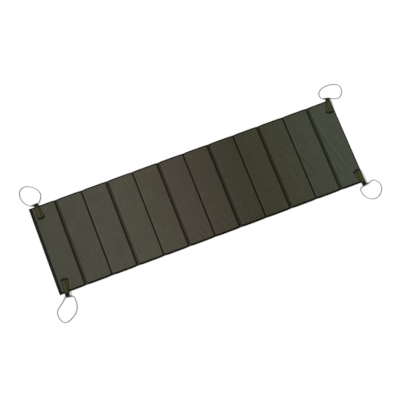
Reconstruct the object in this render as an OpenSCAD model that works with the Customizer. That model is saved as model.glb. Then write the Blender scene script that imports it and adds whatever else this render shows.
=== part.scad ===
// Folding stretcher mat: padded panels in one row that fold up like a concertina,
// with a webbing tab and a cord loop at each corner.
// Millimetres. +X runs along the mat, +Y across it and +Z up.
// The origin is the middle of the underside.

/* [Mat] */
// Length over the end bindings
mat_l = 1900; // [1600:10:2200]
// Width over the side flanges
mat_w = 540; // [440:10:640]
// Thickness of a padded panel
mat_t = 8; // [6:0.5:10]
// Number of panel pairs, each joined by one wide fold web
pair_count = 6; // [2:1:6]
// Free gap between two panel tops that are folded together
fold_gap = 3; // [3:0.5:6]

/* [Covers] */
// Thickness of one layer of cover fabric
cover_t = 0.5; // [0.3:0.1:0.8]
// Flat flange along each long side
side_flange = 5; // [3:0.5:10]
// Flat flange on each side of a narrow seam
seam_flange = 2.5; // [1.5:0.5:5]
// Corner radius of a padded pocket
pocket_r = 8; // [4:1:20]
// Width of the binding on the first end
first_binding_w = 13; // [8:1:20]
// Width of the binding on the last end
last_binding_w = 4; // [3:1:10]
// Thickness of a binding
binding_t = 0.8; // [0.5:0.1:1]

/* [Corner tabs] */
// Length of a tab on the panel
tab_l = 72; // [50:1:100]
// Width of a tab at its inner end
tab_inner_w = 44; // [30:1:50]
// Width of a tab where it crosses the mat's edge
tab_edge_w = 28; // [26:1:30]
// Width of the folded eye
eye_w = 24; // [16:1:26]
// Thickness of the folded webbing
tab_t = 2; // [1.5:0.1:2.2]
// Thickness of the patch that holds a tab's inner end
patch_t = 2.4; // [1.5:0.1:2.6]

/* [Cord loops] */
// Diameter of the cord
cord_d = 3; // [2:0.1:3.2]
// Length of the sleeve that joins the cord's two ends
sleeve_l = 11; // [8:0.5:14]

/* [Hidden] */
$fn = 48;
panel_count = 2 * pair_count;
web_t = 2 * cover_t;
web_w = 2 * (mat_t - web_t) + fold_gap;
// The first panel is this much longer than the others
first_lap = 5;
// The last panel is this much shorter than the others
last_cut = 7;
panel_w = (mat_l - first_lap - pair_count * web_w + last_cut) / panel_count;
// Free gap on each side of a fold line
hinge_gap = 0.3;
// Free gap round the foam in its pocket
foam_gap = 0.1;
// Thickness of a binding where it turns over the raw edge
lip_t = 0.5;

// Folded eye at the outer end of a tab
eye_r = 3;
eye_bore_r = 1.8;
eye_z = 3.1;

// Curved patch: an arc round a centre on the tab's middle line
patch_in_r = 29;
patch_out_r = 42;
patch_half_angle = 40;
patch_centre_v = patch_in_r - tab_l;

// Sleeve on the cord
sleeve_r = 3;
sleeve_bore_r = 1.7;
sleeve_u = 19;

// One row per corner: name, end (-1 first, 1 last), side (1 far, -1 near),
// distance from the mat's end, lean towards the end in degrees, reach past the
// edge, and the side of the eye that the sleeve is on (1 towards the mat's end)
CORNERS = [
    ["left_far", -1, 1, 48, 3, 18, 1],
    ["left_near", -1, -1, 43, 9, 28, -1],
    ["right_far", 1, 1, 15, 14, 17, -1],
    ["right_near", 1, -1, 15, 9, 24, 1]
];

// Route of each cord from one end in the sleeve to the other, relative to its
// eye: along the mat towards its end, away from the mat's edge, and height
ROUTES = [
    [
        [19.3, 0, 3.1], [27, 0, 3], [41, 9, 2], [54, 25, 1.6], [63, 45, 1.6],
        [67, 68, 1.6], [64, 92, 1.6], [52, 112, 1.6], [33, 122, 1.6], [12, 121, 1.6],
        [-7, 112, 1.6], [-25, 98, 1.6], [-39, 80, 1.6], [-47, 60, 1.6], [-48, 41, 1.6],
        [-40, 24, 1.6], [-29, 9, 2], [-15, 0, 3.1], [12, 0, 3.1], [18.7, 0, 3.1]
    ],
    [
        [-19.3, 0, 3.1], [-27, 0, 3], [-36, 12, 2], [-41, 33, 1.6], [-42, 58, 1.6],
        [-36, 84, 1.6], [-22, 107, 1.6], [-3, 124, 1.6], [16, 137, 1.6], [35, 143, 1.6],
        [53, 137, 1.6], [66, 120, 1.6], [74, 97, 1.6], [74, 75, 1.6], [64, 56, 1.6],
        [47, 39, 1.6], [30, 20, 1.9], [15, 0, 3.1], [-12, 0, 3.1], [-18.7, 0, 3.1]
    ],
    [
        [-19.3, 0, 3.1], [-27, 0, 3], [-38, 7, 2], [-46, 21, 1.6], [-46, 38, 1.6],
        [-35, 56, 1.6], [-15, 71, 1.6], [9, 80, 1.6], [36, 84, 1.6], [62, 82, 1.6],
        [81, 73, 1.6], [91, 54, 1.6], [91, 30, 1.6], [82, 9, 1.6], [68, -4, 1.6],
        [50, -7, 1.6], [31, -5, 2], [15, 0, 3.1], [-12, 0, 3.1], [-18.7, 0, 3.1]
    ],
    [
        [19.3, 0, 3.1], [27, 0, 3], [44, -4, 2], [61, 0, 1.6], [74, 14, 1.6],
        [81, 35, 1.6], [78, 59, 1.6], [63, 80, 1.6], [39, 95, 1.6], [15, 100, 1.6],
        [-7, 93, 1.6], [-26, 77, 1.6], [-37, 54, 1.6], [-41, 30, 1.6], [-38, 13, 1.6],
        [-28, 3, 2], [-15, 0, 3.1], [0, 0, 3.1], [12, 0, 3.1], [18.7, 0, 3.1]
    ]
];

cover_rgb = [0.25, 0.26, 0.21];
web_rgb = [0.16, 0.17, 0.13];
foam_rgb = [0.62, 0.63, 0.6];
webbing_rgb = [0.33, 0.33, 0.19];
patch_rgb = [0.11, 0.1, 0.12];
cord_rgb = [0.6, 0.6, 0.6];
sleeve_rgb = [0.07, 0.07, 0.08];

function two(i) = str(i < 10 ? "0" : "", i);
function is_first(i) = i == 1;
function is_last(i) = i == panel_count;
function is_odd(i) = i % 2 == 1;

// Fold lines at the start and the end of panel i, counted from 1
function fold_x0(i) =
    -mat_l / 2 + first_lap
    + floor((i - 1) / 2) * (2 * panel_w + web_w)
    + (is_odd(i) ? 0 : panel_w + web_w);
function fold_x1(i) = is_last(i) ? mat_l / 2 : fold_x0(i) + panel_w;

// Ends of panel i's flat fabric
function sheet_x0(i) = is_first(i) ? -mat_l / 2 + lip_t : fold_x0(i) + hinge_gap;
function sheet_x1(i) = is_last(i) ? mat_l / 2 - lip_t : fold_x1(i) - hinge_gap;

// Ends of panel i's padded pocket
function pocket_x0(i) =
    is_first(i) ? -mat_l / 2 + first_binding_w + lip_t
    : fold_x0(i) + (is_odd(i) ? seam_flange : hinge_gap);
function pocket_x1(i) =
    is_last(i) ? mat_l / 2 - last_binding_w - lip_t
    : fold_x1(i) - (is_odd(i) ? hinge_gap : seam_flange);

PANELS = [for (i = [1:panel_count]) two(i)];
WEBS = [for (i = [1:pair_count]) two(i)];

// Plate from x0 to x1 and z0 to z1 over the width -y to y, with round upright corners
module slab(x0, x1, y, z0, z1, r) {
    translate([0, 0, z0]) linear_extrude(z1 - z0) {
        translate([x0 + r, -y]) square([x1 - x0 - 2 * r, 2 * y]);
        translate([x0, r - y]) square([x1 - x0, 2 * y - 2 * r]);
        for (x = [x0 + r, x1 - r], s = [-1, 1]) {
            translate([x, s * (y - r)]) circle(r);
        }
    }
}

// Rectangular strip over the whole width of the mat
module strip(x0, x1, z0, z1) {
    translate([x0, -mat_w / 2, z0]) cube([x1 - x0, mat_w, z1 - z0]);
}

// Padded pocket of panel i, drawn in by inset on every side, from z0 to z1
module pocket(i, inset, z0, z1) {
    slab(
        pocket_x0(i) + inset, pocket_x1(i) - inset,
        mat_w / 2 - side_flange - inset, z0, z1, pocket_r - inset
    );
}

module bottom_cover(i) {
    color(cover_rgb) strip(sheet_x0(i), sheet_x1(i), 0, cover_t);
}

module foam_core(i) {
    color(foam_rgb)
        pocket(i, cover_t + foam_gap, cover_t + foam_gap, mat_t - cover_t - foam_gap);
}

module top_cover(i) {
    color(cover_rgb) difference() {
        union() {
            strip(sheet_x0(i), sheet_x1(i), cover_t, web_t);
            pocket(i, 0, cover_t, mat_t);
        }
        pocket(i, cover_t, 0, mat_t - cover_t);
    }
}

module fold_web(k) {
    x0 = fold_x1(2 * k - 1);
    color(web_rgb) strip(x0, x0 + web_w, 0, web_t);
}

module end_binding_left() {
    x = -mat_l / 2;
    color(web_rgb) {
        strip(x, x + first_binding_w, web_t, web_t + binding_t);
        strip(x, x + lip_t, 0, web_t);
    }
}

module end_binding_right() {
    x = mat_l / 2;
    color(web_rgb) {
        strip(x - last_binding_w, x, web_t, web_t + binding_t);
        strip(x - lip_t, x, 0, web_t);
    }
}

// Puts its children at corner c: X towards the mat's end, Y away from the mat,
// with the mat's edge at Y = 0 on the tab's middle line
module at_corner(c) {
    mirror([c[1] < 0 ? 1 : 0, 0, 0])
        mirror([0, c[2] < 0 ? 1 : 0, 0])
            translate([mat_l / 2 - c[3], mat_w / 2, 0])
                rotate([0, 0, -c[4]])
                    children();
}

// Distance of the eye's middle from the mat's edge
function eye_v(c) = c[5] - eye_r;

// Outline of a tab seen from above, with a round inner end
module tab_plan(reach) {
    intersection() {
        polygon([
            [-tab_inner_w / 2, -tab_l], [tab_inner_w / 2, -tab_l],
            [tab_edge_w / 2, 0], [eye_w / 2, reach / 2], [eye_w / 2, reach + 1],
            [-eye_w / 2, reach + 1], [-eye_w / 2, reach / 2], [-tab_edge_w / 2, 0]
        ]);
        union() {
            translate([0, patch_centre_v]) circle(patch_in_r);
            translate([-tab_l, patch_centre_v]) square([2 * tab_l, 2 * tab_l]);
        }
    }
}

// Outline of a tab seen from the side: flat on the panel, then down to the eye
module tab_side(v_eye) {
    polygon([
        [-tab_l, mat_t], [0.5, mat_t], [v_eye - 2, eye_z - 1], [v_eye, eye_z - 1],
        [v_eye, eye_z + eye_r], [1.5, mat_t + tab_t], [-tab_l, mat_t + tab_t]
    ]);
    translate([v_eye, eye_z]) circle(eye_r);
}

module webbing_tab(c) {
    color(webbing_rgb) at_corner(c) difference() {
        intersection() {
            linear_extrude(2 * mat_t) tab_plan(c[5]);
            translate([-tab_inner_w, 0, 0]) rotate([90, 0, 90])
                linear_extrude(2 * tab_inner_w) tab_side(eye_v(c));
        }
        translate([-tab_inner_w, eye_v(c), eye_z]) rotate([0, 90, 0])
            cylinder(h = 2 * tab_inner_w, r = eye_bore_r);
    }
}

module tab_patch(c) {
    far = 2 * patch_out_r;
    color(patch_rgb) at_corner(c)
        translate([0, patch_centre_v, mat_t]) linear_extrude(patch_t) intersection() {
            difference() {
                circle(patch_out_r);
                circle(patch_in_r);
            }
            polygon([
                [0, 0],
                [-far * sin(patch_half_angle), -far * cos(patch_half_angle)],
                [far * sin(patch_half_angle), -far * cos(patch_half_angle)]
            ]);
        }
}

module cord_sleeve(c) {
    color(sleeve_rgb) at_corner(c)
        translate([c[6] * sleeve_u, eye_v(c), eye_z]) rotate([0, 90, 0]) difference() {
            cylinder(h = sleeve_l, r = sleeve_r, center = true);
            cylinder(h = 2 * sleeve_l, r = sleeve_bore_r, center = true);
        }
}

// Direction of a route at its point n
function unit(v) = v / norm(v);
function heading(route, n) =
    unit(route[min(n + 1, len(route) - 1)] - route[max(n - 1, 0)]);

// Ring of points round a route's point n, square to the route
cord_sides = 8;
function ring(route, n) =
    let (t = heading(route, n), side = unit(cross(t, [0, 0, 1])), up = cross(side, t))
    [for (k = [0:cord_sides - 1])
        let (a = 360 * k / cord_sides)
        route[n] + cord_d / 2 * (cos(a) * side + sin(a) * up)];

// Tube of the cord's diameter along a route, closed at both ends
module cord(route) {
    last = len(route) - 1;
    points = [for (n = [0:last]) each ring(route, n)];
    walls = [for (n = [0:last - 1], k = [0:cord_sides - 1])
        let (a = n * cord_sides, b = a + cord_sides, m = (k + 1) % cord_sides)
        [a + k, a + m, b + m, b + k]];
    first_cap = [for (k = [cord_sides - 1:-1:0]) k];
    last_cap = [for (k = [0:cord_sides - 1]) last * cord_sides + k];
    polyhedron(points, concat(walls, [first_cap, last_cap]));
}

module cord_loop(c, route) {
    color(cord_rgb) at_corner(c) translate([0, eye_v(c), 0]) cord(route);
}

for (i = [1:panel_count]) {
    top_cover(i);
    foam_core(i);
    bottom_cover(i);
}
for (k = [1:pair_count]) {
    fold_web(k);
}
end_binding_left();
end_binding_right();
for (k = [0:len(CORNERS) - 1]) {
    c = CORNERS[k];
    webbing_tab(c);
    tab_patch(c);
    cord_loop(c, ROUTES[k]);
    cord_sleeve(c);
}
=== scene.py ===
"""Folding stretcher mat: camera, cords, padded panels, fold webs, seams, tabs and stage.

Metres. +X runs along the mat, +Y across it and +Z up. The origin is the middle of the
underside. The mat's sizes come from the CAD boxes. The corners' places and the cords' routes
are the part's own."""

import math

import bpy
import numpy as np
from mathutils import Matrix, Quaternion, Vector


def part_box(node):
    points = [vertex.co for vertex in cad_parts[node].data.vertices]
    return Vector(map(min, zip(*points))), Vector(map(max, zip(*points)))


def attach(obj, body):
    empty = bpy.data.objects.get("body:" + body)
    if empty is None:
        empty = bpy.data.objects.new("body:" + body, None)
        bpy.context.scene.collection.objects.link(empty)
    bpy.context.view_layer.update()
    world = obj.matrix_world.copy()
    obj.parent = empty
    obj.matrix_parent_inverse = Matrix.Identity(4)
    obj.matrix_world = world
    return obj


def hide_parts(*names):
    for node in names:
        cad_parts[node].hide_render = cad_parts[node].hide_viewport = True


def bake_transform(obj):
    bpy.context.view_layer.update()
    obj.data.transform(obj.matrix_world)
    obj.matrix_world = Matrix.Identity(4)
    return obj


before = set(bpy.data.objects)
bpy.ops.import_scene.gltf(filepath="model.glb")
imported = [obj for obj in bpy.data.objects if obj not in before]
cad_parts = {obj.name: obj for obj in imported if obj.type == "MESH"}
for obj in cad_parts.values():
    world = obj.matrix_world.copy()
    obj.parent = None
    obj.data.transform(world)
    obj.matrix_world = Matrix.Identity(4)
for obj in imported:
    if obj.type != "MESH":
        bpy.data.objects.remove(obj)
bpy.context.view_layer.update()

PANELS = range(1, 13)
WEBS = range(1, 7)
MM = 0.001


def two(i):
    return f"{i:02d}"


def span(node, axis):
    """Lowest and highest value of a CAD node along an axis."""
    low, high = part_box(node)
    return low[axis], high[axis]


HALF_W = span("fold_web_01", 1)[1]
MAT_END = span("end_binding_right", 0)[1]
FLAT_Z = span("fold_web_01", 2)[1]
COVER_Z = span("bottom_cover_01", 2)[1]
PAD_Z = span("top_cover_01", 2)[1]
# The cover's thickness and the foam's gap, the radius of a pocket's corners, and how far and
# over what length the long edges are drawn in at a fold line
FOAM_INSET = 0.6 * MM
POCKET_R = 8 * MM
WAIST = 1.8 * MM
WAIST_REACH = 17 * MM

# x of the middle of every web and of every narrow seam
FOLD_LINES = np.array(
    [sum(span(f"fold_web_{two(k)}", 0)) / 2 for k in WEBS]
    + [span(f"bottom_cover_{two(2 * k)}", 0)[1] for k in range(1, 6)]
)


# ---------------------------------------------------------------- camera and corners


def camera():
    """Camera at the photo's height, angle, distance and roll."""
    data = bpy.data.cameras.new("camera")
    data.lens = 108
    data.sensor_width = 36
    data.clip_end = 40
    cam = bpy.data.objects.new("camera", data)
    bpy.context.scene.collection.objects.link(cam)
    cam.location = (-0.789, -1.626, 6.773)
    look = Vector((0, -0.031, 0)) - cam.location
    roll = Quaternion((0, 0, 1), math.radians(5.3))
    cam.rotation_mode = "QUATERNION"
    cam.rotation_quaternion = look.to_track_quat("-Z", "Y") @ roll
    bpy.context.scene.camera = cam


class Corner:
    """One corner's tab: u runs towards the mat's end, v away from the mat's long edge.

    The inset from the end and the reach past the edge are in mm, and the lean in degrees.
    """

    def __init__(self, name, end, side, inset, lean, reach):
        turn = math.radians(lean)
        self.name = name
        self.origin = Vector((end * (MAT_END - inset * MM), side * HALF_W, 0))
        self.along = Vector((end * math.cos(turn), -side * math.sin(turn), 0))
        self.out = Vector((end * math.sin(turn), side * math.cos(turn), 0))
        self.eye_v = (reach - 3) * MM
        self.panel = "panel_01" if end < 0 else "panel_12"
        self.flip = end * side < 0

    def at(self, u, v, z):
        return self.origin + self.along * u + self.out * v + Vector((0, 0, z))

    def local(self, x, y):
        """u and v of points x, y given as arrays."""
        dx, dy = x - self.origin.x, y - self.origin.y
        return dx * self.along.x + dy * self.along.y, dx * self.out.x + dy * self.out.y


CORNERS = [
    Corner("left_far", -1, 1, 48, 3, 18),
    Corner("left_near", -1, -1, 43, 9, 28),
    Corner("right_far", 1, 1, 15, 14, 17),
    Corner("right_near", 1, -1, 15, 9, 24),
]
EYE_Z = 3.1 * MM

# Each cord's route from the sleeve round to the sleeve, in mm: u and v from its eye, and z
ROUTES_MM = {
    "left_far": [
        (19.3, 0, 3.1), (27, 0, 3), (41, 9, 2), (54, 25, 1.6), (63, 45, 1.6), (67, 68, 1.6),
        (64, 92, 1.6), (52, 112, 1.6), (33, 122, 1.6), (12, 121, 1.6), (-7, 112, 1.6),
        (-25, 98, 1.6), (-39, 80, 1.6), (-47, 60, 1.6), (-48, 41, 1.6), (-40, 24, 1.6),
        (-29, 9, 2), (-15, 0, 3.1), (12, 0, 3.1), (18.7, 0, 3.1),
    ],
    "left_near": [
        (-19.3, 0, 3.1), (-27, 0, 3), (-36, 12, 2), (-41, 33, 1.6), (-42, 58, 1.6), (-36, 84, 1.6),
        (-22, 107, 1.6), (-3, 124, 1.6), (16, 137, 1.6), (35, 143, 1.6), (53, 137, 1.6),
        (66, 120, 1.6), (74, 97, 1.6), (74, 75, 1.6), (64, 56, 1.6), (47, 39, 1.6), (30, 20, 1.9),
        (15, 0, 3.1), (-12, 0, 3.1), (-18.7, 0, 3.1),
    ],
    "right_far": [
        (-19.3, 0, 3.1), (-27, 0, 3), (-38, 7, 2), (-46, 21, 1.6), (-46, 38, 1.6), (-35, 56, 1.6),
        (-15, 71, 1.6), (9, 80, 1.6), (36, 84, 1.6), (62, 82, 1.6), (81, 73, 1.6), (91, 54, 1.6),
        (91, 30, 1.6), (82, 9, 1.6), (68, -4, 1.6), (50, -7, 1.6), (31, -5, 2), (15, 0, 3.1),
        (-12, 0, 3.1), (-18.7, 0, 3.1),
    ],
    "right_near": [
        (19.3, 0, 3.1), (27, 0, 3), (44, -4, 2), (61, 0, 1.6), (74, 14, 1.6), (81, 35, 1.6),
        (78, 59, 1.6), (63, 80, 1.6), (39, 95, 1.6), (15, 100, 1.6), (-7, 93, 1.6), (-26, 77, 1.6),
        (-37, 54, 1.6), (-41, 30, 1.6), (-38, 13, 1.6), (-28, 3, 2), (-15, 0, 3.1), (0, 0, 3.1),
        (12, 0, 3.1), (18.7, 0, 3.1),
    ],
}
ROUTES = {
    name: [(u * MM, v * MM, z * MM) for u, v, z in route] for name, route in ROUTES_MM.items()
}
CORD_D = 3 * MM


def straighten(points, corner, route):
    """Keeps the curve on the eye's middle line wherever the route's points lie on it."""
    for n, (u, v, z) in enumerate(route):
        if v != 0 or z != EYE_Z:
            continue
        before, after = route[max(n - 1, 0)][0], route[min(n + 1, len(route) - 1)][0]
        way = corner.along * math.copysign(1, after - before)
        points[n].handle_left_type = points[n].handle_right_type = "FREE"
        points[n].handle_left = points[n].co - way * (abs(u - before) / 3)
        points[n].handle_right = points[n].co + way * (abs(after - u) / 3)


def cord_curve(corner, finish):
    """Smooth open curve through the route's points, as thick as the cord."""
    data = bpy.data.curves.new(f"cord_{corner.name}", "CURVE")
    data.dimensions = "3D"
    data.bevel_depth = CORD_D / 2
    data.bevel_resolution = 4
    data.resolution_u = 8
    data.use_fill_caps = True
    route = ROUTES[corner.name]
    spline = data.splines.new("BEZIER")
    spline.bezier_points.add(len(route) - 1)
    for point, (u, v, z) in zip(spline.bezier_points, route):
        point.co = corner.at(u, corner.eye_v + v, z)
        point.handle_left_type = point.handle_right_type = "AUTO"
    straighten(spline.bezier_points, corner, route)
    cord = bpy.data.objects.new(data.name, data)
    bpy.context.scene.collection.objects.link(cord)
    data.materials.append(finish)
    return cord


def cords(finish, sleeve_finish):
    """The four cord loops, each closed by a sleeve that stays as the CAD has it."""
    for corner in CORNERS:
        cord = cord_curve(corner, finish)
        sleeve = bpy.data.objects[f"cord_sleeve_{corner.name}"]
        dress(sleeve, sleeve_finish)
        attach(cord, f"loop_{corner.name}")
        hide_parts(f"cord_loop_{corner.name}")
        start = ROUTES[corner.name][0]
        corner.at(start[0], corner.eye_v + start[1], start[2])


# ---------------------------------------------------------------- node materials


class Paint:
    """A node material with short calls for the maths it needs."""

    def __init__(self, name, roughness, sheen=0.0, specular=0.35):
        self.material = bpy.data.materials.new(name)
        self.material.use_nodes = True
        self.tree = self.material.node_tree
        self.shader = self.tree.nodes["Principled BSDF"]
        self.shader.inputs["Roughness"].default_value = roughness
        self.shader.inputs["Specular IOR Level"].default_value = specular
        self.shader.inputs["Sheen Weight"].default_value = sheen
        self.shader.inputs["Sheen Roughness"].default_value = 0.45

    def node(self, kind, inputs=None, **settings):
        node = self.tree.nodes.new(kind)
        for key, value in settings.items():
            setattr(node, key, value)
        for key, value in (inputs or {}).items():
            if isinstance(value, bpy.types.NodeSocket):
                self.tree.links.new(value, node.inputs[key])
            else:
                node.inputs[key].default_value = value
        return node

    def math(self, operation, a, b=0.0, c=0.0):
        node = self.node("ShaderNodeMath", {0: a, 1: b, 2: c}, operation=operation)
        return node.outputs[0]

    def coordinates(self, kind):
        """The object's own x, y and z, or a UV map in metres."""
        return self.node("ShaderNodeTexCoord").outputs[kind]

    def axes(self, vector):
        node = self.node("ShaderNodeSeparateXYZ", {0: vector})
        return node.outputs

    def noise(self, vector, scale, detail):
        node = self.node(
            "ShaderNodeTexNoise",
            {"Vector": vector, "Scale": scale, "Detail": detail, "Roughness": 0.55},
        )
        return node.outputs["Fac"]

    def span(self, value, low, high, out_low=0.0, out_high=1.0):
        node = self.node(
            "ShaderNodeMapRange",
            {0: value, 1: low, 2: high, 3: out_low, 4: out_high},
            interpolation_type="SMOOTHSTEP",
        )
        return node.outputs[0]

    def ramp(self, value, stops):
        node = self.node("ShaderNodeValToRGB", {0: value})
        points = node.color_ramp.elements
        while len(points) < len(stops):
            points.new(0.5)
        for point, (position, colour) in zip(points, stops):
            point.position = position
            point.color = (*colour, 1)
        return node.outputs[0]

    def mix(self, factor, a, b):
        node = self.node("ShaderNodeMix", {0: factor}, data_type="RGBA", blend_type="MIX")
        for socket, value in ((node.inputs[6], a), (node.inputs[7], b)):
            if isinstance(value, bpy.types.NodeSocket):
                self.tree.links.new(value, socket)
            else:
                socket.default_value = (*value, 1)
        return node.outputs[2]

    def weave(self, x, y, pitch_x, pitch_y):
        """Plain weave: 0 in the holes between threads and 1 on top of one."""
        a = self.math("SINE", self.math("MULTIPLY", x, 2 * math.pi / pitch_x))
        b = self.math("SINE", self.math("MULTIPLY", y, 2 * math.pi / pitch_y))
        return self.math("MULTIPLY_ADD", self.math("MULTIPLY", a, b), 0.5, 0.5)

    def bump(self, height, distance):
        inputs = {"Height": height, "Distance": distance, "Strength": 1.0}
        node = self.node("ShaderNodeBump", inputs)
        self.tree.links.new(node.outputs[0], self.shader.inputs["Normal"])

    def colour(self, socket):
        self.tree.links.new(socket, self.shader.inputs["Base Color"])

    def roughness(self, socket):
        self.tree.links.new(socket, self.shader.inputs["Roughness"])


# Olive cloth along the mat, from the end with the wide binding to the other: tints partly from the
# cloth's fading and partly painted light and reflection
COVER_TINTS = [
    (0.0, (0.053, 0.054, 0.037)),
    (0.28, (0.068, 0.064, 0.043)),
    (0.48, (0.055, 0.045, 0.03)),
    (0.66, (0.032, 0.031, 0.016)),
    (0.8, (0.039, 0.041, 0.022)),
    (1.0, (0.05, 0.061, 0.043)),
]


def cover_material(name, shade=1.0, painted_fold_shadow=False):
    """Coated woven nylon: fine weave, blotchy fading and dust on the pads. A shade below 1 makes a
    darker copy as painted shade, and a web's copy has painted shadow across its fold.
    """
    gloss = 0.3 if painted_fold_shadow else shade
    paint = Paint(name, 0.62, sheen=0.04 * gloss, specular=0.14 * gloss)
    where = paint.coordinates("Object")
    x, y, z = paint.axes(where)[:3]

    def tone(red, green, blue):
        return red * shade, green * shade, blue * shade

    # Tints along the mat: partly the cloth's fading, partly painted light and reflection
    along = paint.span(x, -MAT_END, MAT_END)
    along.node.interpolation_type = "LINEAR"
    base = paint.ramp(along, [(place, tone(*rgb)) for place, rgb in COVER_TINTS])
    blotch = paint.noise(where, 9, 4)
    base = paint.mix(paint.span(blotch, 0.3, 0.7, 0, 0.22), base, tone(0.04, 0.036, 0.02))
    raised = paint.span(z, 3 * MM, 7.5 * MM, 0.15, 0.5)
    dust = paint.math("MULTIPLY", paint.noise(where, 60, 4), raised)
    base = paint.mix(paint.span(dust, 0.2, 0.45, 0, 0.14), base, tone(0.13, 0.13, 0.09))
    grid = paint.weave(x, y, 1.1 * MM, 0.9 * MM)
    base = paint.mix(paint.span(grid, 0, 0.6, 0.18, 0), base, tone(0.015, 0.015, 0.009))
    # A web's copy gets painted shadow across its fold: dark next to the first pad's wall, pale in
    # the lit strip, and dark again at the far row of stitches
    if painted_fold_shadow:
        across = paint.axes(paint.coordinates("UV"))[0]
        painted_shadow = paint.span(across, 7 * MM, 11.5 * MM, 0.86, 0.12)
        painted_shadow = paint.math("MAXIMUM", painted_shadow, paint.span(across, 14 * MM, 15.6 * MM, 0, 0.85))
        base = paint.mix(painted_shadow, base, (0.006, 0.006, 0.0025))
    paint.colour(base)
    paint.roughness(paint.span(blotch, 0.3, 0.7, 0.55, 0.72))
    crease = paint.math("MULTIPLY", paint.noise(where, 120, 3), 1.6)
    paint.bump(paint.math("ADD", grid, crease), 0.09 * MM)
    return paint.material


def tape_material(name, colour, pitch, kind="Object", ribs=0.0):
    """Narrow woven tape, or ribbed webbing with painted shade along its edges and a darker middle
    of its length.
    """
    paint = Paint(name, 0.7, sheen=0.03, specular=0.07)
    where = paint.coordinates(kind)
    x, y, _ = paint.axes(where)[:3]
    grid = paint.weave(x, y, pitch, pitch)
    if ribs:
        rib = paint.math("SINE", paint.math("MULTIPLY", y, 2 * math.pi / ribs))
        grid = paint.math("MULTIPLY_ADD", rib, 0.5, grid)
    wear = paint.noise(where, 90, 4)
    dark = tuple(0.45 * c for c in colour)
    pale = tuple(min(1, 1.5 * c) for c in colour)
    base = paint.mix(paint.span(grid, 0, 1, 0.45, 0), colour, dark)
    base = paint.mix(paint.span(wear, 0.5, 0.75, 0, 0.4), base, pale)
    if ribs:
        # Ribbed webbing: painted shade along both edges, and darker towards the middle of its
        # length, at the eye
        edge = paint.span(paint.math("ABSOLUTE", x), 7.6 * MM, 11 * MM, 0, 0.95)
        darker_by_eye = paint.span(paint.math("ABSOLUTE", y), 20 * MM, 36 * MM, 0.88, 0)
        base = paint.mix(paint.math("MAXIMUM", edge, darker_by_eye), base, (0.006, 0.006, 0.003))
    paint.colour(base)
    paint.roughness(paint.span(wear, 0.3, 0.7, 0.78, 0.62))
    paint.bump(grid, 0.16 * MM)
    return paint.material


def thread_material(name, colour):
    """Twisted sewing thread."""
    paint = Paint(name, 0.5, sheen=0.3)
    where = paint.coordinates("Object")
    x, y, z = paint.axes(where)[:3]
    slant = paint.math("ADD", paint.math("ADD", x, y), z)
    twist = paint.math("SINE", paint.math("MULTIPLY", slant, 2 * math.pi / (0.5 * MM)))
    dark = tuple(0.4 * c for c in colour)
    paint.colour(paint.mix(paint.span(twist, -1, 1, 0, 0.6), colour, dark))
    paint.roughness(paint.span(twist, -1, 1, 0.42, 0.62))
    paint.bump(twist, 0.05 * MM)
    return paint.material


def patch_material():
    """Rubberised patch: fine leather-like grain, paler rubbed spots, and a painted highlight along
    its crest.
    """
    paint = Paint("patch_rubber", 0.5, specular=0.08)
    where = paint.coordinates("Object")
    grain = paint.node("ShaderNodeTexVoronoi", {"Vector": where, "Scale": 900.0})
    cells = grain.outputs["Distance"]
    worn = paint.noise(where, 70, 4)
    base = paint.mix(paint.span(cells, 0, 0.7), (0.007, 0.007, 0.006), (0.003, 0.003, 0.003))
    base = paint.mix(paint.span(worn, 0.5, 0.75, 0, 0.5), base, (0.026, 0.026, 0.024))
    # Painted highlight: the top of the dome's crest is paler
    crest = paint.span(paint.axes(where)[2], PAD_Z + 2.1 * MM, PAD_Z + 2.35 * MM, 0, 0.5)
    base = paint.mix(crest, base, (0.018, 0.018, 0.017))
    paint.colour(base)
    paint.roughness(paint.span(worn, 0.35, 0.7, 0.62, 0.42))
    paint.bump(paint.math("MULTIPLY", cells, -1), 0.12 * MM)
    return paint.material


def cord_material():
    """Braided grey cord: strands that cross in both directions round it."""
    paint = Paint("cord_braid", 0.68, sheen=0.08, specular=0.2)
    where = paint.coordinates("UV")
    u, v, _ = paint.axes(where)[:3]
    length = paint.math("MULTIPLY", u, 330.0)
    turn = paint.math("MULTIPLY", v, 4.0)
    left, right = [
        paint.math("SINE", paint.math("MULTIPLY", paint.math(way, length, turn), math.pi))
        for way in ("ADD", "SUBTRACT")
    ]
    strands = paint.math("MULTIPLY_ADD", paint.math("MULTIPLY", left, right), 0.5, 0.5)
    grime = paint.noise(paint.coordinates("Object"), 55, 4)
    gaps = paint.span(strands, 0, 0.7, 0.75, 0)
    base = paint.mix(gaps, (0.085, 0.085, 0.09), (0.025, 0.025, 0.027))
    base = paint.mix(paint.span(grime, 0.45, 0.75, 0, 0.45), base, (0.12, 0.115, 0.1))
    paint.colour(base)
    paint.roughness(paint.span(grime, 0.3, 0.7, 0.6, 0.78))
    paint.bump(strands, 0.25 * MM)
    return paint.material


def sleeve_material():
    """Moulded black sleeve: satin, with fine specks and paler rubbed spots."""
    paint = Paint("sleeve_plastic", 0.4, specular=0.5)
    where = paint.coordinates("Object")
    speck = paint.noise(where, 400, 4)
    rub = paint.noise(where, 120, 3)
    worn = paint.span(rub, 0.5, 0.8, 0, 0.6)
    paint.colour(paint.mix(worn, (0.012, 0.012, 0.013), (0.05, 0.05, 0.05)))
    paint.roughness(paint.span(rub, 0.3, 0.7, 0.32, 0.55))
    paint.bump(speck, 0.08 * MM)
    return paint.material


# ---------------------------------------------------------------- mesh helpers


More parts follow.
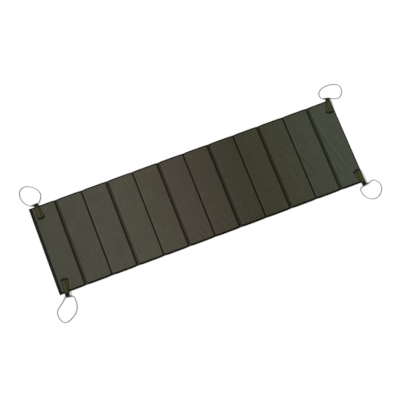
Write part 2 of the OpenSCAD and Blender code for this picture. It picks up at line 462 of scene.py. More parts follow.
def make_mesh(name, vertices, faces, finishes, rounded=True, uv=None, picks=None):
    """New object from points and faces; picks gives each face's finish number."""
    mesh = bpy.data.meshes.new(name)
    mesh.from_pydata([tuple(v) for v in vertices], [], [tuple(map(int, f)) for f in faces])
    for finish in finishes:
        mesh.materials.append(finish)
    if picks is not None:
        mesh.polygons.foreach_set("material_index", np.asarray(picks, dtype=np.int32))
    mesh.polygons.foreach_set("use_smooth", np.full(len(mesh.polygons), rounded))
    layer = mesh.uv_layers.new(name="UVMap")
    plan = np.asarray(vertices, float)[:, :2] if uv is None else np.asarray(uv, float)
    loops = np.empty(len(mesh.loops), dtype=np.int32)
    mesh.loops.foreach_get("vertex_index", loops)
    layer.data.foreach_set("uv", plan[loops].ravel())
    mesh.validate()
    obj = bpy.data.objects.new(name, mesh)
    bpy.context.scene.collection.objects.link(obj)
    return obj


def dress(obj, finish):
    """Gives a carried-over CAD node its finish."""
    obj.data.materials.clear()
    obj.data.materials.append(finish)


def grid_faces(rows, columns, start=0, flip=False):
    """Quads of a grid of points stored row by row."""
    r, c = np.meshgrid(np.arange(rows - 1), np.arange(columns - 1), indexing="ij")
    a = start + (r * columns + c).ravel()
    quads = np.stack([a, a + columns, a + columns + 1, a + 1], axis=1)
    return quads[:, ::-1] if flip else quads


def rim(rows, columns):
    """Indices round the edge of a grid, in order."""
    top = [c for c in range(columns)]
    right = [r * columns + columns - 1 for r in range(1, rows)]
    bottom = [(rows - 1) * columns + c for c in range(columns - 2, -1, -1)]
    left = [r * columns for r in range(rows - 2, 0, -1)]
    return np.array(top + right + bottom + left)


def skirt(edge, foot):
    """Quads between a loop of points and the matching loop below it."""
    return np.stack([edge, np.roll(edge, -1), np.roll(foot, -1), foot], axis=1)


def sheet_faces(rows, columns):
    """Faces of a closed sheet whose lower points are stored after its upper ones."""
    count = rows * columns
    edge = rim(rows, columns)
    down = grid_faces(rows, columns, count, flip=True)
    return np.concatenate([grid_faces(rows, columns), down, skirt(edge, edge + count)])


def shell(xs, ys, top, bottom):
    """Points and faces of a closed sheet between two height maps."""
    x, y = np.meshgrid(xs, ys, indexing="ij")
    layers = [np.stack([x, y, face(x, y)], axis=-1).reshape(-1, 3) for face in (top, bottom)]
    return np.concatenate(layers), sheet_faces(*x.shape)


def steps(*parts):
    """Joined runs of points from (start, stop, largest step) with the joints kept once."""
    values = [parts[0][0]]
    for start, stop, step in parts:
        count = max(1, math.ceil(abs(stop - start) / step - 1e-6))
        values += list(np.linspace(start, stop, count + 1)[1:])
    return np.array(values)


def smooth(t):
    t = np.clip(t, 0, 1)
    return t * t * (3 - 2 * t)


def soft_noise(x, y, cell_x, cell_y, seed):
    """Smooth random height from -1 to 1 with bumps of about the given cells."""
    table = np.random.RandomState(seed).uniform(-1, 1, (64, 64))
    u, v = x / cell_x + 1000.5, y / cell_y + 1000.5
    i, j = np.floor(u).astype(int), np.floor(v).astype(int)
    s, t = smooth(u - i), smooth(v - j)

    def at(a, b):
        return table[(i + a) % 64, (j + b) % 64]

    near = at(0, 0) * (1 - t) + at(0, 1) * t
    far = at(1, 0) * (1 - t) + at(1, 1) * t
    return near * (1 - s) + far * s


def waisted(points):
    """The mat's points with its long edges drawn in a little at each fold line."""
    points = np.array(points, float)
    gap = np.abs(points[:, :1] - FOLD_LINES).min(axis=1)
    points[:, 1] *= 1 - WAIST / HALF_W * np.exp(-((gap / WAIST_REACH) ** 2))
    return points


# ---------------------------------------------------------------- stitches


def stitch_block(centres, directions, length, radius):
    """Small capsules, one per stitch, lying along their directions."""
    stations = np.array([-0.5, -0.36, 0.0, 0.36, 0.5]) * length
    radii = np.array([0.15, 0.8, 1.0, 0.8, 0.15]) * radius
    angles = np.arange(6) * math.pi / 3
    points, faces = [], []
    for centre, direction in zip(centres, directions):
        along = np.asarray(direction, float)
        along = along / np.linalg.norm(along)
        side = np.cross(along, (0, 0, 1.0))
        side /= np.linalg.norm(side)
        up = np.cross(side, along)
        first = len(points)
        for station, r in zip(stations, radii):
            for angle in angles:
                ring = side * math.cos(angle) * r + up * math.sin(angle) * r * 0.8
                points.append(np.asarray(centre) + along * station + ring)
        for row in range(4):
            for k in range(6):
                a, b = first + row * 6 + k, first + row * 6 + (k + 1) % 6
                faces.append((a, b, b + 6, a + 6))
        faces.append(tuple(first + k for k in range(5, -1, -1)))
        faces.append(tuple(first + 24 + k for k in range(6)))
    return points, faces


class Stitching:
    """Rows of stitches that ride on one body, joined into one piece."""

    def __init__(self):
        self.points, self.faces = [], []

    def row(self, start, end, pitch=4.2 * MM, length=3.1 * MM, radius=0.33 * MM):
        start, end = np.asarray(start, float), np.asarray(end, float)
        run = np.linalg.norm(end - start)
        count = max(1, int(run / pitch))
        spots = [start + (end - start) * (n + 0.5) / count for n in range(count)]
        self.add(spots, [end - start] * count, length, radius)

    def path(self, route, pitch=3.4 * MM, length=2.5 * MM, radius=0.35 * MM):
        """Stitches along a route of many close points."""
        route = np.asarray(route, float)
        legs = np.linalg.norm(np.diff(route, axis=0), axis=1)
        far = np.concatenate([[0], np.cumsum(legs)])
        marks = np.arange(pitch / 2, far[-1], pitch)

        def spot(s):
            return np.array([np.interp(s, far, route[:, k]) for k in range(3)])

        centres = [spot(s) for s in marks]
        ahead = [spot(s + pitch / 4) - spot(s - pitch / 4) for s in marks]
        self.add(centres, ahead, length, radius)

    def add(self, centres, directions, length, radius):
        points, faces = stitch_block(centres, directions, length, radius)
        first = len(self.points)
        self.points += points
        self.faces += [tuple(first + k for k in face) for face in faces]

    def build(self, name, body, finish, slot):
        piece = make_mesh(name, waisted(self.points), self.faces, [finish])
        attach(piece, body)


# ---------------------------------------------------------------- padded panels


class Panel:
    """Sizes of one padded panel, read from its CAD nodes."""

    def __init__(self, i):
        self.number, self.body = i, f"panel_{two(i)}"
        self.x0, self.x1 = span(f"bottom_cover_{two(i)}", 0)
        low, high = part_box(f"foam_core_{two(i)}")
        self.px0, self.px1 = low[0] - FOAM_INSET, high[0] + FOAM_INSET
        self.py = high[1] + FOAM_INSET
        # At a narrow seam, the strip of cloth over the seam takes the flange's place
        self.start = self.px0 if i % 2 == 1 and i > 1 else self.x0
        self.end = self.px1 if i % 2 == 0 and i < 12 else self.x1
        self.corners = [c for c in CORNERS if c.panel == self.body]

    def depth(self, x, y):
        """Distance inside the rounded pocket's edge, below 0 outside it."""
        mid, half = (self.px0 + self.px1) / 2, (self.px1 - self.px0) / 2
        qx = np.abs(x - mid) - half + POCKET_R
        qy = np.abs(y) - self.py + POCKET_R
        outside = np.hypot(np.maximum(qx, 0), np.maximum(qy, 0))
        return POCKET_R - outside - np.minimum(np.maximum(qx, qy), 0)

    def held(self, x, y):
        """1 where a tab or patch is stitched down on the panel, fading out round it."""
        hold = np.zeros_like(x)
        for corner in self.corners:
            u, v = corner.local(x, y)
            gap = np.maximum(np.abs(u) - 0.025, np.maximum(-0.087 - v, v))
            hold = np.maximum(hold, 1 - smooth(gap / 0.012))
        return hold


# Folds that the photo shows: panel, start x and y, end x and y, width, and height in mm
CREASES = [
    (11, 0.652, 0.045, 0.742, -0.12, 0.009, 1.6),
    (11, 0.66, -0.03, 0.7, -0.2, 0.008, 1.1),
    (11, 0.7, 0.2, 0.765, 0.02, 0.011, 1.1),
    (11, 0.655, 0.0, 0.775, -0.05, 0.008, 0.9),
    (12, 0.83, 0.2, 0.862, -0.06, 0.009, 1.5),
    (12, 0.86, 0.0, 0.905, -0.19, 0.008, 1.1),
    (12, 0.895, 0.1, 0.93, -0.08, 0.009, 0.9),
    (10, 0.56, 0.0, 0.6, -0.2, 0.011, 0.8),
    (7, 0.06, -0.17, 0.11, -0.26, 0.008, 1.6),
    (7, 0.1, -0.15, 0.145, -0.24, 0.009, 1.1),
    (6, -0.07, -0.2, -0.02, -0.258, 0.008, 1.4),
    (6, -0.04, -0.16, 0.0, -0.23, 0.008, 1.1),
    (8, 0.24, -0.2, 0.3, -0.25, 0.009, 1.2),
    (8, 0.17, 0.1, 0.2, -0.1, 0.012, 0.7),
    (4, -0.36, 0.25, -0.335, 0.17, 0.009, 0.9),
    (5, -0.29, 0.24, -0.25, 0.19, 0.009, 0.9),
]


def creases(panel, x, y):
    """Raised folds, each with a shallow valley beside it, in metres."""
    height = np.zeros_like(x)
    for number, ax, ay, bx, by, width, size in CREASES:
        if number != panel.number:
            continue
        dx, dy = bx - ax, by - ay
        run = math.hypot(dx, dy)
        t = ((x - ax) * dx + (y - ay) * dy) / run**2
        off = ((x - ax) * dy - (y - ay) * dx) / run
        off = off - 0.006 * np.sin(math.pi * np.clip(t, 0, 1))
        fade = smooth(t / 0.25) * smooth((1 - t) / 0.35)
        ridge = np.exp(-((off / width) ** 2)) - 1.4 * np.exp(-(((off - 1.6 * width) / width) ** 2))
        height += 1.6 * size * MM * fade * ridge
    return height


def drawn_in(panel, x, y):
    """Puckers that run in from the stitched edges, in metres."""
    to_x = np.minimum(x - panel.px0, panel.px1 - x)
    to_y = panel.py - np.abs(y)
    seed = 40 + panel.number
    wander = 0.006 * soft_noise(x, y, 0.03, 0.05, seed)
    along_y = soft_noise(x * 0.2, y + wander, 0.02, 0.011, seed + 20)
    along_x = soft_noise(x + wander, y * 0.2, 0.014, 0.02, seed + 60)
    near_x = np.exp(-np.maximum(to_x, 0) / 0.016)
    near_y = np.exp(-np.maximum(to_y, 0) / 0.018)
    return 1.2 * MM * (along_y * near_x + along_x * near_y)


def room(panel, y):
    """How far a cover may rise before it meets its neighbour, or a tab on it, when folded."""
    near_tab = smooth((np.abs(y) - 0.155) / 0.02) * (panel.number in (1, 2, 11, 12))
    return (1.4 - 0.95 * near_tab) * MM


def pad_height(panel, x, y, relaxed):
    """Height of the cover's top over the foam, the flat flanges included."""
    depth = panel.depth(x, y) + 0.5 * MM * soft_noise(x, y, 0.035, 0.04, 500 + panel.number)
    t = np.clip(depth / 0.0085, 0, 1)
    dome = (1 - (1 - t) ** 2.3) ** (1 / 1.5)
    crown = 0.4 * MM * smooth(depth / 0.06)
    slack = drawn_in(panel, x, y) + creases(panel, x, y) + relaxed(x, y)
    slack += 0.3 * MM * soft_noise(x, y, 0.05, 0.06, panel.number)
    slack = (slack + crown) * smooth(depth / 0.006) * (1 - panel.held(x, y))
    slack = np.where(slack > 0, room(panel, y) * np.tanh(slack / room(panel, y)), slack)
    return FLAT_Z + (PAD_Z - FLAT_Z) * dome + slack


def pad_steps(bounds, sizes):
    """Places across a pad, closer together where its cover bends down to its edges.

    Bounds are the start, the cover's two edges and the end. Sizes are the largest steps in mm:
    at an edge, beside it, in the middle and on a flange.
    """
    start, low, high, end = bounds
    fine, near, wide, flat = [size * MM for size in sizes]
    parts = [
        (start, low, flat),
        (low, low + 0.004, fine),
        (low + 0.004, low + 0.012, near),
        (low + 0.012, high - 0.012, wide),
        (high - 0.012, high - 0.004, near),
        (high - 0.004, high, fine),
        (high, end, flat),
    ]
    return steps(*[part for part in parts if part[1] - part[0] > 1e-4])


def shaded_rim(panel, middle):
    """1 for faces, given by their middles, that lie in the dark rim of a pad, a painted shade:
    wider along the long sides and at the first panel's outer end.
    """
    wide = np.abs(middle[:, 1]) > panel.py - 6 * MM
    wide |= (panel.number == 1) & (middle[:, 0] < panel.px0 + 6 * MM)
    rim_width = np.where(wide, 5 * MM, 1.3 * MM)
    return (panel.depth(middle[:, 0], middle[:, 1]) < rim_width).astype(int)


def pad(panel, relaxed, finishes):
    """Closed crowned pad: the top cover drawn over its foam, with flat stitched flanges."""
    xs = pad_steps((panel.start, panel.px0, panel.px1, panel.end), (0.6, 1.2, 3.6, 1.1))
    ys = pad_steps((-HALF_W, -panel.py, panel.py, HALF_W), (0.7, 1.3, 3.1, 1.7))
    x, y = np.meshgrid(xs, ys, indexing="ij")
    top = np.stack([x, y, pad_height(panel, x, y, relaxed)], axis=-1).reshape(-1, 3)
    edge = rim(*x.shape)
    foot = top[edge].copy()
    foot[:, 2] = COVER_Z
    ring = np.arange(len(edge)) + len(top)
    upper, walls = grid_faces(*x.shape), skirt(edge, ring)
    faces = [*map(tuple, upper), *map(tuple, walls), tuple(ring[::-1])]
    # Rim faces, walls and the underneath take the darker cloth, a painted shade
    picks = np.concatenate([shaded_rim(panel, top[upper].mean(axis=1)), np.ones(len(walls) + 1, int)])
    points = waisted(np.concatenate([top, foot]))
    piece = make_mesh(f"pad_{two(panel.number)}", points, faces, finishes, picks=picks)
    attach(piece, panel.body)
    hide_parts(f"top_cover_{two(panel.number)}", f"foam_core_{two(panel.number)}")
    return piece


def groove(x, lines, width=1.4 * MM, depth=0.3 * MM):
    """Depth of shallow sewing grooves along lines of constant x."""
    rise = np.zeros_like(x)
    for line in lines:
        rise = np.maximum(rise, depth * np.exp(-(((x - line) / width) ** 2)))
    return rise


def underside(panel, finish):
    """Bottom cover: one thin flat layer, lifted a little where seams pull it in."""
    start, end = panel.start, panel.end

    def top(x, y):
        return np.full_like(x, COVER_Z)

    def bottom(x, y):
        pucker = soft_noise(x * 0.2, y, 0.02, 0.014, 80 + panel.number)
        close = np.exp(-np.minimum(x - start, end - x) / 0.01)
        wave = 0.12 * MM * (0.6 + pucker) * close
        side = 0.2 * MM * np.exp(-(((HALF_W - np.abs(y) - 0.0025) / 0.0012) ** 2))
        return np.clip(groove(x, (start, end)) + wave + side, 0.01 * MM, 0.4 * MM)

    def places(low, high, wide):
        near, far = low + 6 * MM, high - 6 * MM
        return steps((low, near, MM), (near, far, wide), (far, high, MM))

    points, faces = shell(places(start, end, 0.01), places(-HALF_W, HALF_W, 0.006), top, bottom)
    number = two(panel.number)
    piece = make_mesh(f"underside_{number}", waisted(points), faces, [finish])
    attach(piece, panel.body)
    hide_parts(f"bottom_cover_{number}")


# ---------------------------------------------------------------- cloth simulation


CLOTH_FRAMES = 20
SLACK = 0.5 * MM


class Relaxed:
    """Slack of one cover, read off a coarse grid of simulated cloth."""

    def __init__(self, xs, ys, lift):
        self.xs, self.ys, self.lift = xs, ys, lift

    def __call__(self, x, y):
        i = np.clip((x - self.xs[0]) / (self.xs[1] - self.xs[0]), 0, len(self.xs) - 1.001)
        j = np.clip((y - self.ys[0]) / (self.ys[1] - self.ys[0]), 0, len(self.ys) - 1.001)
        a, b = i.astype(int), j.astype(int)
        s, t = i - a, j - b
        near = self.lift[a, b] * (1 - t) + self.lift[a, b + 1] * t
        far = self.lift[a + 1, b] * (1 - t) + self.lift[a + 1, b + 1] * t
        return near * (1 - s) + far * s


def cloth_grid(panel):
    """x and y places of one cover's coarse cloth, about 5 mm apart."""
    return np.linspace(panel.px0, panel.px1, 31), np.linspace(-panel.py, panel.py, 107)


def coarse_covers(panels):
    """All covers as one flat coarse mesh, with the points that are stitched down in a group."""
    points, faces, pinned = [], [], []
    for panel in panels:
        xs, ys = cloth_grid(panel)
        x, y = np.meshgrid(xs, ys, indexing="ij")
        start = 0.0006 * soft_noise(x, y, 0.02, 0.026, 200 + panel.number)
        depth = panel.depth(x, y)
        faces.append(grid_faces(len(xs), len(ys), sum(len(p) for p in points)))
        points.append(np.stack([x, y, start * smooth(depth / 0.02)], axis=-1).reshape(-1, 3))
        pinned.append(((depth < 0.003) | (panel.held(x, y) > 0.5)).ravel())
    obj = make_mesh("cover_cloth", np.concatenate(points), np.concatenate(faces), [])
    group = obj.vertex_groups.new(name="stitched")
    group.add([int(k) for k in np.flatnonzero(np.concatenate(pinned))], 1.0, "REPLACE")
    return obj


def simulate(panels):
    """Lets all covers, cut slightly large, settle between their stitched edges."""
    obj = coarse_covers(panels)
    cloth = obj.modifiers.new("cloth", "CLOTH")
    cloth.settings.vertex_group_mass = "stitched"
    cloth.settings.shrink_min = -0.012
    cloth.settings.tension_stiffness = 20
    cloth.settings.compression_stiffness = 20
    cloth.settings.bending_stiffness = 0.02
    cloth.settings.quality = 6
    cloth.settings.use_pressure = True
    cloth.settings.uniform_pressure_force = 0.4
    cloth.settings.effector_weights.gravity = 0
    cloth.collision_settings.use_collision = False
    cloth.point_cache.frame_start, cloth.point_cache.frame_end = 1, CLOTH_FRAMES
    for now in range(1, CLOTH_FRAMES + 1):
        bpy.context.scene.frame_set(now)
    shape = obj.evaluated_get(bpy.context.evaluated_depsgraph_get()).data
    height = np.empty(len(shape.vertices) * 3)
    shape.vertices.foreach_get("co", height)
    height = height.reshape(len(panels), -1, 3)[:, :, 2]
    bpy.data.objects.remove(obj)
    bpy.context.scene.frame_set(1)
    return height


def relaxed_covers(panels):
    covers = {}
    for panel, height in zip(panels, simulate(panels)):
        xs, ys = cloth_grid(panel)
        lift = height.reshape(len(xs), len(ys))
        spread = max(1e-6, np.percentile(np.abs(lift - np.median(lift)), 90))
        covers[panel.number] = Relaxed(xs, ys, (lift - np.median(lift)) / spread * SLACK)
    return covers


# ---------------------------------------------------------------- folds and seams


def web(k, finish):
    """Fold web: both covers stitched flat between two pads. Gives the x of its stitch rows."""
    x0, x1 = span(f"fold_web_{two(k)}", 0)
    start, end = x0 + 1.2 * MM, x1 + 0.5 * MM
    rows = (x0 + 1.6 * MM, x1 - 1.6 * MM)

    def top(x, y):
        ripple = soft_noise(x, y, 0.02, 0.009, 300 + k)
        swell = 0.22 * MM * np.sin(math.pi * np.clip((x - start) / (end - start), 0, 1))
        return FLAT_Z + swell + 0.12 * MM * ripple - groove(x, rows, 0.7 * MM, 0.22 * MM)

    def bottom(x, y):
        return 0.01 * MM + groove(x, rows, 0.9 * MM, 0.3 * MM)

    ys = np.linspace(-HALF_W, HALF_W, 181)
    points, faces = shell(np.linspace(start, end, 29), ys, top, bottom)
    plan = points[:, :2] - (x0, 0)
    piece = make_mesh(f"web_cloth_{two(k)}", waisted(points), faces, [finish], uv=plan)
    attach(piece, f"web_{two(k)}")
    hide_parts(f"fold_web_{two(k)}")
    return rows


def fold_strip(name, zone, hinge_x, finishes, stitched):
    """Cloth across one fold line, with the row of stitches that lies on the line."""
    start, end = zone
    xs = np.linspace(start, end, 15)
    ys = np.linspace(-HALF_W, HALF_W, 181)

    def top(x, y):
        return FLAT_Z - 0.02 * MM - groove(x, [hinge_x], 1.2 * MM, 0.22 * MM) * stitched

    def bottom(x, y):
        return 0.02 * MM + groove(x, [hinge_x], 1.2 * MM, 0.25 * MM) * stitched

    points, faces = shell(xs, ys, top, bottom)
    points, faces = list(points), [tuple(f) for f in faces]
    picks = [0] * len(faces)
    if stitched:
        for z in (FLAT_Z - 0.12 * MM, 0.26 * MM):
            thread = Stitching()
            thread.row((hinge_x, -HALF_W, z), (hinge_x, HALF_W, z), radius=0.3 * MM)
            faces += [tuple(len(points) + k for k in face) for face in thread.faces]
            points += thread.points
            picks += [1] * len(thread.faces)
    piece = make_mesh(name, waisted(points), faces, finishes, picks=picks)
    y, z = 0, FLAT_Z / 2
    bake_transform(piece)


def folds(panels, finishes):
    """Cloth over each web's first edge, where it leaves a panel, and over each narrow seam, in the
    darker cloth that paints shade into these grooves.
    """
    for k in WEBS:
        x0 = span(f"fold_web_{two(k)}", 0)[0]
        bodies = (f"panel_{two(2 * k - 1)}", f"web_{two(k)}")
        zone = (x0 - 0.6 * MM, x0 + 1.4 * MM)
        fold_strip(f"fold_{two(k)}", zone, x0, finishes, False)
    for before, after in zip(panels[1::2], panels[2::2]):
        bodies, line = (before.body, after.body), (before.x1 + after.x0) / 2
        zone = (before.px1 - 0.2 * MM, after.px0 + 0.2 * MM)
        name = f"seam_{two(before.number)}"
        fold_strip(name, zone, line, finishes, True)


def panel_stitching(panel, finish):
    """Rows along both long flanges, above and below."""
    thread = Stitching()
    start, end = panel.start + 0.5 * MM, panel.end - 0.5 * MM
    for y in (2.5 * MM - HALF_W, HALF_W - 2.5 * MM):
        thread.row((start, y, FLAT_Z + 0.12 * MM), (end, y, FLAT_Z + 0.12 * MM))
        thread.row((start, y, 0.3 * MM), (end, y, 0.3 * MM), radius=0.25 * MM)
    thread.build(f"stitches_{panel.body}", panel.body, finish, "cover_fabric")


def web_stitching(k, rows, finish):
    """A double row near each long side of a web, on both faces."""
    thread = Stitching()
    reach = HALF_W - 0.001
    for x in rows:
        thread.row((x, -reach, FLAT_Z - 0.02 * MM), (x, reach, FLAT_Z - 0.02 * MM))
        thread.row((x, -reach, 0.3 * MM), (x, reach, 0.3 * MM), radius=0.26 * MM)
    thread.build(f"stitches_web_{two(k)}", f"web_{two(k)}", finish, "web_fabric")


def folded_tape(outer, inner, top_z, rows):
    """Points and faces of a tape folded over an end, with grooves at its rows of stitches."""
    width, sign = abs(outer - inner), math.copysign(1, outer - inner)
    turn = np.linspace(outer - sign * 0.45 * MM, inner, 26)
    xs = np.concatenate([[outer, outer - sign * 0.1 * MM], turn])

    def top(x, y):
        t = np.abs(x - outer) / width
        edge = np.minimum(t, 1 - t) * width
        height = FLAT_Z + (top_z - FLAT_Z) * np.sqrt(np.clip(edge / (1.0 * MM), 0.12, 1))
        for row in rows:
            height = height - 0.3 * MM * np.exp(-(((t - row) * width / (0.8 * MM)) ** 2))
        return height + 0.1 * MM * soft_noise(x, y, 0.01, 0.012, 410)

    def bottom(x, y):
        return np.where(np.abs(x - outer) < 0.5 * MM, 0.02 * MM, FLAT_Z)

    points, faces = shell(xs, np.linspace(-HALF_W, HALF_W, 181), top, bottom)
    return points, faces[:, ::-1] if sign > 0 else faces


def binding(side, finishes):
    """Woven tape folded over a raw end, with its rows of stitches."""
    node = f"end_binding_{side}"
    (low_x, high_x), (_, top_z) = span(node, 0), span(node, 2)
    outer, inner, body = low_x, high_x, "panel_01"
    if side == "right":
        outer, inner, body = high_x, low_x, "panel_12"
    rows = [0.3, 0.78] if high_x - low_x > 8 * MM else [0.5]
    points, faces = folded_tape(outer, inner, top_z, rows)
    piece = make_mesh(f"binding_{side}", points, faces, [finishes[0]])
    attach(piece, body)
    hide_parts(node)
    thread, z = Stitching(), top_z - 0.2 * MM
    for row in rows:
        x = outer + row * (inner - outer)
        thread.row((x, MM - HALF_W, z), (x, HALF_W - MM, z), radius=0.3 * MM)
    thread.build(f"stitches_binding_{side}", body, finishes[1], "binding")


# ---------------------------------------------------------------- corner tabs


STRAP_W = 25 * MM
STRAP_T = 1.0 * MM
EYE_R = 2.6 * MM
TAB_LENGTH = 72 * MM
PATCH_V = -43 * MM


def strap_route(corner):
    """The strap's middle line in v and z: along the panel, round the eye and back."""
    eye, upper, lower = corner.eye_v, PAD_Z + 1.5 * STRAP_T, PAD_Z + 0.5 * STRAP_T
    turn = np.radians(np.linspace(90, -118, 14))
    over = [(v, upper) for v in (-TAB_LENGTH, -0.05, -0.02, -0.006)]
    over.append((0.5 * MM, upper - 0.1 * MM))
    falls = ((0.3, 0.25), (0.72, 0.58))
    down = [(part * eye, upper - drop * (upper - EYE_Z)) for part, drop in falls]
    round_it = [(eye + EYE_R * math.cos(t), EYE_Z + EYE_R * math.sin(t)) for t in turn]
    back = [(0.55 * eye, 0.62 * lower), (0.2 * eye, 0.9 * lower), (-0.002, lower)]
    under = [(-0.02, lower), (-0.05, lower), (-TAB_LENGTH, lower)]
    return np.array(over + down + round_it + back + under), len(over + down) + 7


def resample(points, middle, step):
    """Even points along a route, the number of the middle one, and each one's way from it."""
    legs = np.linalg.norm(np.diff(points, axis=0), axis=1)
    far = np.concatenate([[0], np.cumsum(legs)])
    marks = np.linspace(0, far[-1], int(far[-1] / step))
    even = np.stack([np.interp(marks, far, points[:, k]) for k in range(points.shape[1])], axis=1)
    for _ in range(2):
        even[1:-1] = 0.5 * even[1:-1] + 0.25 * (even[:-2] + even[2:])
    nearest = int(np.argmin(np.abs(marks - far[middle])))
    return even, nearest, marks - marks[nearest]


def fan(v, leg):
    """Sideways place of a leg's middle line: together at the eye and apart on the panel."""
    spread = 8.5 * MM * np.clip(-v / TAB_LENGTH, 0, 1)
    return leg * (spread + 1.2 * MM * smooth((0.012 - v) / 0.02))


def strap_layer(route, leg, across, face):
    """u, v and z of one face of the strap, row by row along its route."""
    ahead = np.gradient(route, axis=0)
    ahead /= np.linalg.norm(ahead, axis=1)[:, None]
    offset = face * STRAP_T * (1 - 0.35 * np.abs(2 * across) ** 8)
    rows = []
    for (v, z), (ahead_v, ahead_z), side in zip(route, ahead, leg):
        u = fan(v, side) + across * STRAP_W
        vv, zz = v - ahead_z * offset, z + ahead_v * offset
        # The upper leg comes down onto the pad where it lies beside the lower one
        if v < 0 and side > 0:
            bare = smooth((u - fan(v, -1.0) - 0.5 * STRAP_W + 1.5 * MM) / (3.5 * MM))
            zz = zz - STRAP_T * bare * smooth(-v / 0.012)
        # Each leg is stretched or drawn in so that its end follows the patch's curve
        reach = PATCH_V - np.sqrt(np.maximum((29.5 * MM) ** 2 - u**2, 1e-6))
        pull = (reach + 0.03) / (0.03 - TAB_LENGTH)
        vv = np.where(vv < -0.03, -0.03 + (vv + 0.03) * pull, vv)
        rows.append(np.stack([u, vv, zz], axis=-1))
    return np.array(rows).reshape(-1, 3)


def strap(corner, finish):
    """One folded strap whose two legs fan out over the panel, the upper on the lower."""
    route, middle, from_eye = resample(*strap_route(corner), 0.9 * MM)
    across = np.linspace(-0.5, 0.5, 23)
    leg = np.where(np.arange(len(route)) <= middle, 1.0, -1.0)
    local = np.concatenate([strap_layer(route, leg, across, face) for face in (0.5, -0.5)])
    faces = sheet_faces(len(route), len(across))
    if not corner.flip:
        faces = faces[:, ::-1]
    world = [corner.at(*p) for p in local]
    uv = [np.tile(across * STRAP_W, 2 * len(route)), np.tile(np.repeat(from_eye, len(across)), 2)]
    uv = np.stack(uv, axis=1)
    piece = make_mesh(f"tab_strap_{corner.name}", world, faces, [finish], uv=uv)
    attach(piece, corner.panel)
    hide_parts(f"webbing_tab_{corner.name}")


def crescent(corner, finish):
    """Domed curved patch over the legs' ends, thinning to rounded tips."""
    angles = np.radians(np.linspace(-40, 40, 49))
    across = np.linspace(-1, 1, 15)
    points = []
    for a in angles:
        tip = max(0.02, 1 - abs(a / angles[-1]) ** 7) ** 0.5
        for t in across:
            r = 35 * MM + t * 7.2 * MM * tip
            rise = 2.4 * MM * max(0.0, 1 - abs(t) ** 4) ** 0.4 * tip**0.5
            z = PAD_Z - 0.05 * MM + max(rise, 0.1 * MM)
            points.append((r * math.sin(a), PATCH_V - r * math.cos(a), z))
    rows, columns = len(angles), len(across)
    edge = rim(rows, columns)
    foot = [(points[k][0], points[k][1], PAD_Z - 0.3 * MM) for k in edge]
    ring = np.arange(len(edge)) + len(points)
    faces = [*map(tuple, grid_faces(rows, columns)), *map(tuple, skirt(edge, ring))]
    faces.append(tuple(ring[::-1]))
    if not corner.flip:
        faces = [f[::-1] for f in faces]
    world = [corner.at(*p) for p in points + foot]
    piece = make_mesh(f"patch_{corner.name}", world, faces, [finish])
    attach(piece, corner.panel)
    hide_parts(f"tab_patch_{corner.name}")


def tab_stitching(corner, finish):
    """Curved rows on the patch, a boxed cross on the strap and a bar tack at the eye."""
    thread = Stitching()
    top = PAD_Z + 2 * STRAP_T + 0.02 * MM
    bend, crest = np.radians(np.linspace(-35, 35, 40)), PAD_Z + 2.28 * MM
    for r in (31 * MM, 39 * MM):
        arc = [corner.at(r * math.sin(a), PATCH_V - r * math.cos(a), crest) for a in bend]
        thread.path(arc)
    near, far, half = -8 * MM, -30 * MM, 9 * MM
    box = [(-half, near), (half, near), (half, far), (-half, far)]
    lines = list(zip(box, box[1:] + box[:1])) + [(box[0], box[2]), (box[1], box[3])]
    for a, b in lines:
        thread.row(corner.at(*a, top), corner.at(*b, top), pitch=3.2 * MM, length=2.4 * MM)
    for n in range(3):
        v = -3.2 * MM - n * 0.8 * MM
        ends = corner.at(-8 * MM, v, top), corner.at(8 * MM, v, top)
        thread.row(*ends, pitch=1.4 * MM, length=1.3 * MM)
    thread.build(f"stitches_tab_{corner.name}", corner.panel, finish, "webbing")


# ---------------------------------------------------------------- stage and lights


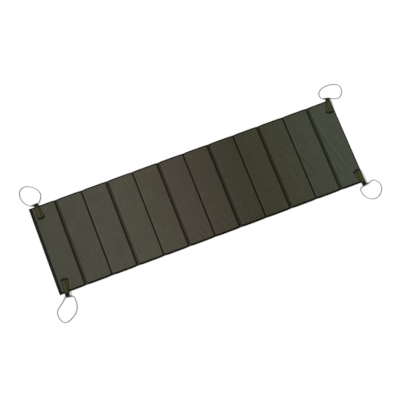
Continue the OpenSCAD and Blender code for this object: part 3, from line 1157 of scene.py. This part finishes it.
def floor():
    """Plain pale floor."""
    paint = Paint("floor", 0.9, specular=0.0)
    tone = paint.noise(paint.coordinates("Object"), 3, 2)
    paint.colour(paint.mix(paint.span(tone, 0.3, 0.7), (0.93, 0.93, 0.93), (0.95, 0.95, 0.95)))
    z = -0.3 * MM
    points = [(-40, -40, z), (40, -40, z), (40, 40, z), (-40, 40, z)]
    piece = make_mesh("floor", points, [(0, 1, 2, 3)], [paint.material], rounded=False)


def lights():
    """Pale even surroundings and a broad soft light that rakes in from the far left."""
    world = bpy.data.worlds.new("studio")
    bpy.context.scene.world = world
    world.use_nodes = True
    world.node_tree.nodes["Background"].inputs[0].default_value = (1, 1, 1, 1)
    world.node_tree.nodes["Background"].inputs[1].default_value = 0.68
    lamp = bpy.data.lights.new("soft_light", "SUN")
    lamp.energy = 2.4
    lamp.angle = math.radians(14)
    holder = bpy.data.objects.new("soft_light", lamp)
    holder.location = (-2.4, 1.6, 1.9)
    holder.rotation_euler = (-holder.location).to_track_quat("-Z", "Y").to_euler()
    bpy.context.scene.collection.objects.link(holder)


def build():
    bpy.context.scene.view_settings.view_transform = "Standard"
    camera()
    cords(cord_material(), sleeve_material())
    cover = cover_material("cover_cloth")
    # A copy of the cover cloth at a fifth of its colour: painted shade on the pads' rims and walls
    # and on the strips over folds and seams
    dark = cover_material("painted_shade_cloth", 0.2)
    # The webs' cloth, with a painted shadow across each fold
    web_cloth = cover_material("web_cloth", 1.0, painted_fold_shadow=True)
    seam_thread = thread_material("seam_thread", (0.022, 0.021, 0.014))
    tape = tape_material("binding_tape", (0.011, 0.011, 0.006), 1.2 * MM)
    webbing = tape_material("webbing", (0.051, 0.053, 0.019), 1.6 * MM, "UV", ribs=2.4 * MM)
    tab_thread = thread_material("tab_thread", (0.03, 0.03, 0.012))
    panels = [Panel(i) for i in PANELS]
    covers = relaxed_covers(panels)
    for panel in panels:
        pad(panel, covers[panel.number], [cover, dark])
        underside(panel, cover)
        panel_stitching(panel, seam_thread)
    for k in WEBS:
        rows = web(k, web_cloth)
        web_stitching(k, rows, seam_thread)
    folds(panels, [dark, seam_thread])
    for side in ("left", "right"):
        binding(side, [tape, seam_thread])
    rubber = patch_material()
    for corner in CORNERS:
        strap(corner, webbing)
        crescent(corner, rubber)
        tab_stitching(corner, tab_thread)
    floor()
    lights()


build()
